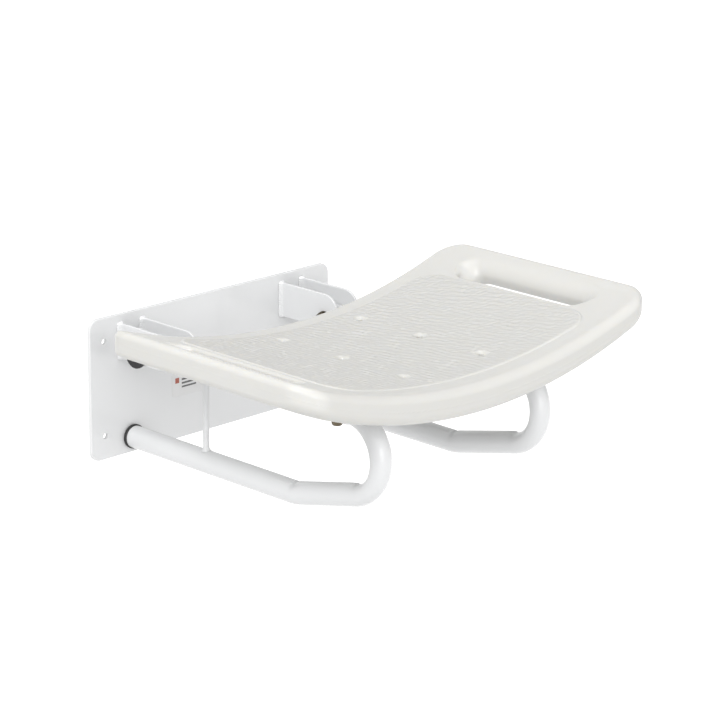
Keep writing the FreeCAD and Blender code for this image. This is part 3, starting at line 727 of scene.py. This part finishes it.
def seat_bolt_shank(under_head, tip):
    """An M6 bolt's plain shank and its threaded end."""
    thread_start = tip - 11.5
    profile = [(M6_R, under_head, 0.0), (M6_R, thread_start - 0.5, 0.0)]
    profile += thread_profile(M6_R, thread_start, tip - 0.6, M6_PITCH)
    return profile + [(M6_R - 0.7, tip, 0.0), (AXIS_R, tip, 0.0)]


def make_front_seat_bolts():
    """Hexagon-head bolts under the tubes."""
    flats = 10.0
    head_h = 3.2
    bolts = []
    for x, y, low_z, high_z in seat_bolt_places("seat_front_bolts"):
        under_head = low_z + head_h
        stamped = low_z + 0.3
        profile = [(AXIS_R, stamped, 0.0), (flats * 0.36, stamped, 0.0), (flats * 0.40, low_z, 0.0)]
        profile += hex_profile(flats, head_h, under_head, -1.0)[::-1]
        profile += seat_bolt_shank(under_head, high_z)
        bolts.append(turned("bolt", profile, (x, y, 0.0), (0.0, 0.0, 1.0)))
    return joined("seat_hex_bolts", bolts)


def make_rear_seat_bolts():
    """Button-head bolts under the tubes, with a hexagon socket."""
    head_r = 5.25
    head_h = 2.7
    dome_h = head_h - 0.4
    socket = 4.0
    flat_r = socket * 0.62
    bolts = []
    for x, y, low_z, high_z in seat_bolt_places("seat_rear_bolts"):
        under_head = low_z + head_h
        profile = [(AXIS_R, low_z + 1.6, 0.0), (socket, low_z + 1.5, socket),
                   (socket, low_z + 0.15, socket), (flat_r, low_z, 0.0)]
        for t in np.linspace(0.1, 1.0, 10):
            angle = t * math.pi / 2.0
            radius = flat_r + (head_r - flat_r) * math.sin(angle)
            profile.append((radius, low_z + dome_h * (1.0 - math.cos(angle)), 0.0))
        profile += [(head_r, under_head, 0.0)] + seat_bolt_shank(under_head, high_z)
        bolts.append(turned("bolt", profile, (x, y, 0.0), (0.0, 0.0, 1.0)))
    return joined("seat_button_bolts", bolts)


# ---------------------------------------------------------------- label

def label_outline(low, high):
    """The label's rounded outline, as points of (X, Z)."""
    middle = (low + high) / 2.0
    half = (high - low) / 2.0 - LABEL_CORNER_R
    outline = []
    for quarter, (right, up) in enumerate(((1, 1), (-1, 1), (-1, -1), (1, -1))):
        for degrees in np.linspace(0.0, 90.0, 12):
            angle = math.radians(90.0 * quarter + degrees)
            x = middle[0] + right * half[0] + LABEL_CORNER_R * math.cos(angle)
            z = middle[2] + up * half[2] + LABEL_CORNER_R * math.sin(angle)
            outline.append((x, z))
    return outline


def make_label():
    """A thin vinyl label with rounded corners and a bevelled face."""
    low, high = box_mm("information_label")
    thick = high[1] - low[1]
    middle = (low + high) / 2.0
    rings = []
    for depth, bevel in ((0.0, 0.0), (0.7, 0.0), (1.0, LABEL_BEVEL)):
        y = high[1] - thick * depth
        rings.append([(x - np.sign(x - middle[0]) * bevel, y, z - np.sign(z - middle[2]) * bevel)
                      for x, z in label_outline(low, high)])
    return soften_flats(rings_mesh("blank_sticker", rings, False))


# ---------------------------------------------------------------- materials

EDGE_GAIN = 6.0               # how fast a rounding edge counts as a whole edge in Shader.edges
# The three coat whites are one and the same powder coat: the tube's is a touch darker as painted shade, the
# plate's a touch lighter as painted light, and the bracket's is in between.
COAT_WHITE_TUBE_SHADED = (0.64, 0.646, 0.652, 1.0)
COAT_WHITE_BRACKET = (0.65, 0.656, 0.662, 1.0)
COAT_WHITE_PLATE_LIT = (0.655, 0.66, 0.665, 1.0)
COAT_WORN = (0.5, 0.5, 0.49, 1.0)
COAT_DIRT = 0.965             # brightness of the coat's cloudy patches, as a share of the rest
SEAT_CREAM = (0.56, 0.556, 0.538, 1.0)
SEAT_CREAM_DEEP = (0.546, 0.542, 0.518, 1.0)
SEAT_CREAM_EDGE = (0.60, 0.595, 0.58, 1.0)
SEAT_CREAM_PANEL = (0.43, 0.427, 0.415, 1.0)
RUBBER_BLACK = (0.012, 0.012, 0.013, 1.0)
RUBBER_BLACK_DUSTY = (0.022, 0.022, 0.023, 1.0)
LABEL_BLOCK_RED = (0.35, 0.10, 0.07, 1.0)
LEATHER_CELL_MM = 3.4
PRINT_ROWS = 6.0              # lines on the label, counted over its whole height


def grey(value):
    """A grey of that brightness, 0 to 1."""
    return (value, value, value, 1.0)


class Nodes:
    """A node tree, with short calls for adding nodes."""

    def __init__(self, tree):
        self.tree = tree

    def add(self, kind, settings=None, **inputs):
        """Add a node. An input is a value or another node's output; its name has _ for each space."""
        node = self.tree.nodes.new(kind)
        for key, value in (settings or {}).items():
            setattr(node, key, value)
        for key, value in inputs.items():
            self.connect(node.inputs[key.replace("_", " ")], value)
        return node

    def connect(self, socket, value):
        """Link another node's output to a socket, or set the socket to a plain value."""
        if isinstance(value, bpy.types.NodeSocket):
            self.tree.links.new(value, socket)
        else:
            socket.default_value = value

    def maths(self, operation, *values):
        """A maths node's output."""
        node = self.add("ShaderNodeMath", {"operation": operation})
        for socket, value in zip(node.inputs, values):
            self.connect(socket, value)
        return node.outputs["Value"]

    def times(self, first, second):
        """The product of two values."""
        return self.maths("MULTIPLY", first, second)

    def within(self, value, low, high):
        """1 where the value is between low and high, else 0."""
        return self.times(self.maths("GREATER_THAN", value, low), self.maths("LESS_THAN", value, high))

    def mix(self, share, first, second):
        """A colour between two others, as their share (0 to 1) says."""
        node = self.add("ShaderNodeMix", {"data_type": "RGBA"})
        self.connect(node.inputs["Factor"], share)
        self.connect(node.inputs[6], first)
        self.connect(node.inputs[7], second)
        return node.outputs[2]

    def for_sight(self, seen, lit):
        """One colour to the camera and in reflections, another for the light it gives."""
        ray = self.add("ShaderNodeLightPath").outputs
        return self.mix(self.maths("MAXIMUM", ray["Is Camera Ray"], ray["Is Glossy Ray"]), lit, seen)

    def for_camera(self, seen, lit):
        """One colour to the camera, another for all other light."""
        return self.mix(self.add("ShaderNodeLightPath").outputs["Is Camera Ray"], lit, seen)


class Shader(Nodes):
    """A new material's nodes, with places in millimetres."""

    def __init__(self, name):
        self.material = bpy.data.materials.new(name)
        self.material.use_nodes = True
        super().__init__(self.material.node_tree)
        self.surface = self.tree.nodes["Principled BSDF"]
        metres = self.add("ShaderNodeTexCoord").outputs["Object"]
        scale = self.add("ShaderNodeVectorMath", {"operation": "SCALE"}, Vector=metres, Scale=1.0 / MM)
        self.place = scale.outputs["Vector"]

    def noise(self, size_mm, detail=2.0, stretch=(1.0, 1.0, 1.0)):
        """Noise from 0 to 1, with features of about that size."""
        scaled = self.add("ShaderNodeVectorMath", {"operation": "MULTIPLY"}, Vector=self.place)
        scaled.inputs[1].default_value = stretch
        node = self.add("ShaderNodeTexNoise", Vector=scaled.outputs["Vector"], Scale=1.0 / size_mm,
                        Detail=detail)
        return node.outputs["Fac"]

    def spread(self, value, low, high):
        """Map 0..1 to low..high."""
        node = self.add("ShaderNodeMapRange", Value=value, To_Min=low, To_Max=high)
        return node.outputs["Result"]

    def edges(self, radius_mm):
        """1 on convex and concave edges, 0 on flats."""
        soft = self.add("ShaderNodeBevel", {"samples": 4}, Radius=radius_mm * MM).outputs["Normal"]
        sharp = self.add("ShaderNodeNewGeometry").outputs["Normal"]
        dot = self.add("ShaderNodeVectorMath", {"operation": "DOT_PRODUCT"})
        self.connect(dot.inputs[0], soft)
        self.connect(dot.inputs[1], sharp)
        away = self.maths("SUBTRACT", 1.0, dot.outputs["Value"])
        return self.maths("MINIMUM", self.times(away, EDGE_GAIN), 1.0)

    def bump(self, height, depth_mm, normal=None):
        """A bump of that depth, on top of another normal if there is one."""
        node = self.add("ShaderNodeBump", Height=height, Distance=depth_mm * MM, Strength=1.0)
        if normal is not None:
            self.connect(node.inputs["Normal"], normal)
        return node.outputs["Normal"]

    def finish(self, **inputs):
        """The material, with these inputs set on its surface."""
        for key, value in inputs.items():
            self.connect(self.surface.inputs[key.replace("_", " ")], value)
        return self.material


def paint(name, colour):
    """Powder coat: fine orange peel, a little dirt in the colour, thinner and rougher on edges."""
    s = Shader(name)
    broken = s.times(s.edges(0.7), s.spread(s.noise(2.2, 4.0), 0.1, 0.9))
    dirty = [c * COAT_DIRT for c in colour[:3]] + [1.0]
    base = s.mix(s.spread(s.noise(60.0, 3.0), 0.0, 1.0), colour, dirty)
    base = s.mix(s.times(broken, 0.5), base, COAT_WORN)
    rough = s.maths("ADD", s.spread(s.noise(7.0, 5.0), 0.26, 0.36), s.times(broken, 0.15))
    peel = s.bump(s.noise(1.6, 2.0), 0.03)
    return s.finish(Base_Color=base, Roughness=rough, Normal=peel, Coat_Weight=0.6, Coat_Roughness=0.05,
                    Specular_IOR_Level=0.5)


def seat_plastic():
    """Blow-moulded polyethylene: slightly translucent, satin, with a fine leather grain on the panel."""
    s = Shader("seat_polyethylene")
    panel = s.add("ShaderNodeAttribute", {"attribute_name": "panel"}).outputs["Fac"]
    flow = s.noise(90.0, 3.0, (0.35, 1.0, 1.0))
    base = s.mix(s.spread(flow, 0.0, 1.0), SEAT_CREAM, SEAT_CREAM_DEEP)
    base = s.mix(s.times(s.edges(1.2), 0.25), base, SEAT_CREAM_EDGE)
    base = s.mix(s.times(panel, 0.45), base, SEAT_CREAM_PANEL)
    rough = s.maths("ADD", s.spread(s.noise(14.0, 4.0), 0.30, 0.40), s.times(panel, 0.16))
    skin = s.bump(s.noise(9.0, 3.0), 0.05)
    cells = s.add("ShaderNodeTexVoronoi", {"feature": "SMOOTH_F1"}, Vector=s.place,
                  Scale=1.0 / LEATHER_CELL_MM, Smoothness=0.8)
    grain = s.maths("ADD", cells.outputs["Distance"], s.times(s.noise(1.6, 2.0), 0.35))
    leather = s.bump(s.times(grain, panel), 0.12, skin)
    return s.finish(Base_Color=base, Roughness=rough, Normal=leather, Subsurface_Weight=0.32,
                    Subsurface_Radius=(1.0, 0.85, 0.6), Subsurface_Scale=7.0 * MM, IOR=1.5)


def rubber(name):
    """Black moulded rubber with a dusty bloom on its edges."""
    s = Shader(name)
    base = s.mix(s.spread(s.noise(5.0, 4.0), 0.0, 1.0), RUBBER_BLACK, RUBBER_BLACK_DUSTY)
    base = s.mix(s.times(s.edges(0.8), 0.35), base, grey(0.06))
    return s.finish(Base_Color=base, Roughness=s.spread(s.noise(3.0, 3.0), 0.5, 0.7),
                    Normal=s.bump(s.noise(0.7, 2.0), 0.05))


def metal(name, colour, tint, low_rough, high_rough):
    """Plated metal with patchy tint, brushed marks and brighter, rubbed edges."""
    s = Shader(name)
    rubbed = [min(1.0, c * 2.2) for c in colour[:3]] + [1.0]
    base = s.mix(s.spread(s.noise(6.0, 4.0), 0.0, 1.0), colour, tint)
    base = s.mix(s.times(s.edges(0.5), 0.35), base, rubbed)
    marks = s.noise(0.8, 3.0, (1.0, 1.0, 6.0))
    return s.finish(Base_Color=base, Metallic=1.0, Roughness=s.spread(marks, low_rough, high_rough),
                    Normal=s.bump(marks, 0.02))


def plastic(name, colour, shade):
    """Plain moulded nylon or polyethylene, satin, with faint mould texture."""
    s = Shader(name)
    base = s.mix(s.noise(8.0, 3.0), colour, shade)
    base = s.mix(s.times(s.edges(0.6), 0.3), base, grey(0.8))
    return s.finish(Base_Color=base, Roughness=s.spread(s.noise(2.0, 3.0), 0.35, 0.5),
                    Normal=s.bump(s.noise(0.8, 2.0), 0.03))


def printed_bars(s, across, down):
    """1 on a few bars of uneven length, where a label would have its text."""
    row = s.times(down, PRINT_ROWS)
    in_row = s.maths("GREATER_THAN", s.maths("FRACT", row), 0.5)
    uneven = s.maths("FRACT", s.times(s.maths("FLOOR", row), 0.37))
    bar_end = s.maths("ADD", 0.72, s.times(uneven, 0.25))
    return s.times(s.times(in_row, s.within(across, 0.30, bar_end)), s.within(down, 0.16, 0.66))


def label_vinyl():
    """White vinyl printed with plain dark bars in place of any text, and one plain block."""
    s = Shader("label_vinyl")
    low, high = box_mm("information_label")
    axes = s.add("ShaderNodeSeparateXYZ", Vector=s.place).outputs
    across = s.maths("DIVIDE", s.maths("SUBTRACT", axes["X"], float(low[0])), float(high[0] - low[0]))
    down = s.maths("DIVIDE", s.maths("SUBTRACT", float(high[2]), axes["Z"]), float(high[2] - low[2]))
    block = s.times(s.within(across, 0.10, 0.22), s.within(down, 0.18, 0.42))
    base = s.mix(s.noise(12.0, 3.0), grey(0.66), grey(0.63))
    base = s.mix(printed_bars(s, across, down), base, grey(0.10))
    base = s.mix(block, base, LABEL_BLOCK_RED)
    return s.finish(Base_Color=base, Roughness=s.spread(s.noise(4.0, 3.0), 0.25, 0.4),
                    Normal=s.bump(s.noise(3.0, 2.0), 0.02))


def set_material(piece, material):
    """Give the whole piece one material."""
    if not piece.data.materials:
        piece.data.materials.append(material)
    for holder in piece.material_slots:
        holder.material = material


# ---------------------------------------------------------------- putting the object together

def place(piece, body, slot, material, *nodes):
    """Finish a new piece: its material, the body it moves with and the CAD nodes it stands for."""
    set_material(piece, material)
    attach(piece, body)
    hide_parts(*nodes)


def place_board(zinc):
    """The seat board and its bolts."""
    place(make_seat(), "seat_frame", "seat_plastic", seat_plastic(), "seat_board")
    place(make_front_seat_bolts(), "seat_frame", "seat_bolt_plating", zinc, "seat_front_bolts")
    place(make_rear_seat_bolts(), "seat_frame", "seat_bolt_plating", zinc, "seat_rear_bolts")


def place_loop(side, sign, coat, black):
    """A tube loop with its brace rod and its rubber foot."""
    place(make_loop(side, sign), "seat_frame", "tube_paint", coat, side + "_tube_loop")
    place(make_rod(side, sign), "seat_frame", "tube_paint", coat, side + "_brace_rod")
    place(make_foot(side, sign), "seat_frame", "foot_rubber", black, side + "_wall_foot")


def place_bracket(side, sign, coat, zinc, black):
    """A wall bracket: its two cheeks, its buffer and its pivot bolt and nut."""
    for where, outward in (("outer", 1.0), ("inner", -1.0)):
        cheek = make_cheek(side, sign, where, outward)
        place(cheek, "wall_bracket", "bracket_paint", coat, side + "_" + where + "_cheek")
    place(make_buffer(side, sign), "wall_bracket", "buffer_rubber", black, side + "_buffer")
    place(make_pivot_bolt(side, sign), "wall_bracket", "pivot_plating", zinc, side + "_pivot_bolt")
    place(make_pivot_nut(side, sign), "wall_bracket", "pivot_plating", zinc, side + "_pivot_nut")


def finish_cad_nodes(zinc):
    """Materials for the CAD nodes that stay, because their shape is right."""
    steel = metal("plain_steel", grey(0.60), (0.50, 0.50, 0.51, 1.0), 0.25, 0.45)
    brass = metal("insert_brass", (0.75, 0.58, 0.28, 1.0), (0.66, 0.50, 0.25, 1.0), 0.25, 0.40)
    nylon = plastic("bush_nylon", (0.72, 0.71, 0.66, 1.0), (0.66, 0.65, 0.60, 1.0))
    plug = plastic("plug_plastic", grey(0.55), grey(0.48))
    # the plate's coat white is a touch lighter than the tube's, as painted light
    materials = {"wall_plate": paint("plate_powder_coat", COAT_WHITE_PLATE_LIT), "seat_inserts": brass,
                 "seat_front_washers": zinc}
    for side, _ in SIDES:
        materials[side + "_pivot_washers"] = zinc
        materials[side + "_pivot_sleeve"] = steel
        materials[side + "_pivot_bushes"] = nylon
        materials[side + "_tube_plug"] = plug
    for node, material in materials.items():
        set_material(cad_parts[node], material)


def build_object():
    """Every piece of the seat, on its body and with its material."""
    # the tube coat's white is a touch darker than the plate's, as painted shade
    tube_coat = paint("tube_powder_coat", COAT_WHITE_TUBE_SHADED)
    bracket_coat = paint("bracket_powder_coat", COAT_WHITE_BRACKET)
    zinc = metal("zinc_plating", (0.16, 0.13, 0.08, 1.0), (0.08, 0.07, 0.06, 1.0), 0.22, 0.42)
    black = rubber("black_rubber")
    place_board(zinc)
    place(make_label(), "wall_bracket", "label_vinyl", label_vinyl(), "information_label")
    for side, sign in SIDES:
        place_loop(side, sign, tube_coat, black)
        place_bracket(side, sign, bracket_coat, zinc, black)
    finish_cad_nodes(zinc)


# ---------------------------------------------------------------- camera, light and floor

CAMERA_PLACE = (-2.1039, -2.3005, 0.9486)
CAMERA_YAW = math.radians(45.51)
CAMERA_PITCH = math.radians(16.94)
CAMERA_ROLL = math.radians(0.567)
CAMERA_LENS = 145.07
FLOOR_Z = -0.50
FLOOR_SIZE = 60.0
BACKDROP = (0.985, 0.985, 0.98, 1.0)
FLOOR_GLOW = 0.54             # the light that the floor sends up to the object
# The world's soft patches of light, each as (axis, direction along it, strength).
SOFT_PATCHES = (("X", -1.0, 0.8), ("X", 1.0, 0.3), ("Y", -1.0, 2.2), ("Y", 1.0, 1.1), ("Z", 1.0, 0.35))
# The lamps, each as (name, spot, size in metres, watts). They all point at LAMP_AIM.
LAMPS = (("key", (-2.6, -0.5, 2.2), 1.2, 58.0), ("top", (0.0, -0.3, 3.0), 1.5, 28.0),
         ("front", (-1.8, -2.2, 2.2), 1.2, 10.0), ("low_front", (-0.6, -2.9, 0.2), 1.2, 10.0))
LAMP_AIM = (0.0, -0.2, 0.0)


def make_camera():
    """The camera, at the photo's angle."""
    camera = bpy.data.objects.new("camera", bpy.data.cameras.new("camera"))
    bpy.context.scene.collection.objects.link(camera)
    camera.data.lens = CAMERA_LENS
    camera.data.sensor_width = 36.0
    camera.data.clip_end = 200.0
    right = Vector((math.cos(CAMERA_YAW), -math.sin(CAMERA_YAW), 0.0))
    level = math.cos(CAMERA_PITCH)
    forward = Vector((math.sin(CAMERA_YAW) * level, math.cos(CAMERA_YAW) * level, -math.sin(CAMERA_PITCH)))
    up = right.cross(forward)
    x_axis = right * math.cos(CAMERA_ROLL) + up * math.sin(CAMERA_ROLL)
    y_axis = up * math.cos(CAMERA_ROLL) - right * math.sin(CAMERA_ROLL)
    turn = Matrix((x_axis, y_axis, -forward)).transposed().to_4x4()
    camera.matrix_world = Matrix.Translation(CAMERA_PLACE) @ turn
    bpy.context.scene.camera = camera


def make_lamp(name, spot, size, watts):
    """A square, white area lamp."""
    data = bpy.data.lights.new(name, "AREA")
    data.shape = "SQUARE"
    data.size = size
    data.energy = watts
    lamp = bpy.data.objects.new(name, data)
    bpy.context.scene.collection.objects.link(lamp)
    lamp.location = spot
    lamp.rotation_euler = (Vector(LAMP_AIM) - Vector(spot)).to_track_quat("-Z", "Y").to_euler()


def make_world():
    """White to the camera; for light, a wide soft patch towards each side that is lit."""
    world = bpy.data.worlds.new("studio")
    world.use_nodes = True
    bpy.context.scene.world = world
    sky = Nodes(world.node_tree)
    direction = sky.add("ShaderNodeTexCoord").outputs["Generated"]
    axes = sky.add("ShaderNodeSeparateXYZ", Vector=direction).outputs
    total = 0.0
    for axis, sign, strength in SOFT_PATCHES:
        facing = sky.maths("MAXIMUM", sky.times(axes[axis], sign), 0.0)
        total = sky.maths("ADD", total, sky.times(sky.maths("POWER", facing, 2.0), strength))
    background = world.node_tree.nodes["Background"]
    light = sky.add("ShaderNodeCombineXYZ", X=total, Y=total, Z=total).outputs["Vector"]
    sky.connect(background.inputs["Color"], sky.for_camera(BACKDROP, light))


def make_floor():
    """A plain pale floor, well below the seat. From below, it can be seen through."""
    half = FLOOR_SIZE / 2.0 / MM
    z = FLOOR_Z / MM
    corners = [(-half, -half, z), (half, -half, z), (half, half, z), (-half, half, z)]
    floor = add_mesh("floor", corners, [(0, 1, 2, 3)])
    s = Shader("pale_floor")
    base = s.mix(s.noise(900.0, 3.0), grey(0.26), grey(0.25))
    glow = s.for_sight(BACKDROP, grey(FLOOR_GLOW))
    set_material(floor, s.finish(Base_Color=base, Roughness=s.spread(s.noise(40.0, 3.0), 0.6, 0.7),
                                 Emission_Color=glow, Emission_Strength=1.0,
                                 Normal=s.bump(s.noise(3.0, 2.0), 0.05)))
    clear_below = s.add("ShaderNodeMixShader", Fac=s.add("ShaderNodeNewGeometry").outputs["Backfacing"])
    s.connect(clear_below.inputs[1], s.surface.outputs["BSDF"])
    s.connect(clear_below.inputs[2], s.add("ShaderNodeBsdfTransparent").outputs["BSDF"])
    s.connect(s.tree.nodes["Material Output"].inputs["Surface"], clear_below.outputs["Shader"])


def set_stage():
    """Everything that isn't the object."""
    make_camera()
    make_world()
    make_floor()
    for lamp in LAMPS:
        make_lamp(*lamp)
    bpy.context.scene.view_settings.view_transform = "Standard"


build_object()
set_stage()
